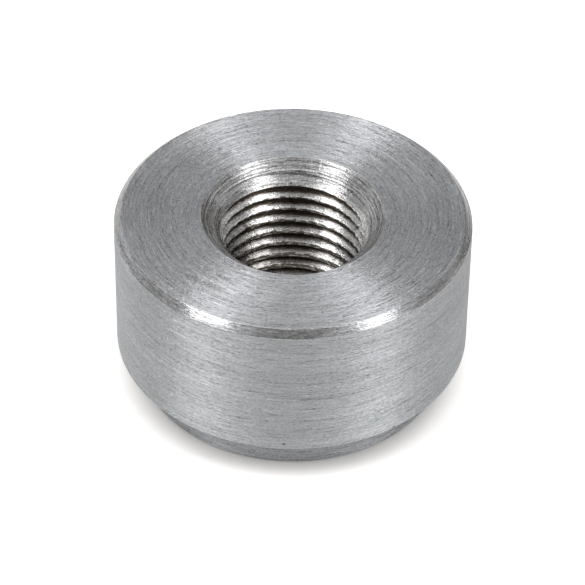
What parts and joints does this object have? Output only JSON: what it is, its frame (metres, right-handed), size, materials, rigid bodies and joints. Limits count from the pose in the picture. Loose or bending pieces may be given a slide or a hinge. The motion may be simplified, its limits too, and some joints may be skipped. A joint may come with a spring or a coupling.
{
  "type": "weld on bung",
  "caption": "Round steel weld-on bung: thick turned collar with a chamfered top, a stepped locating pilot below and a countersunk threaded port through it.",
  "frame": {"origin": "centre of the pilot's flat end face, on the port's axis", "axes": "+Z along the port's axis, out of the countersunk mouth; the part is the same all round, so +X and +Y are free"},
  "size_m": [0.022, 0.022, 0.0118],
  "materials": {
    "turned_steel": "as turned, bright, fine feed marks round the axis"
  },
  "bodies": {
    "root": {"weld_bung": "turned_steel"}
  },
  "joints": []
}
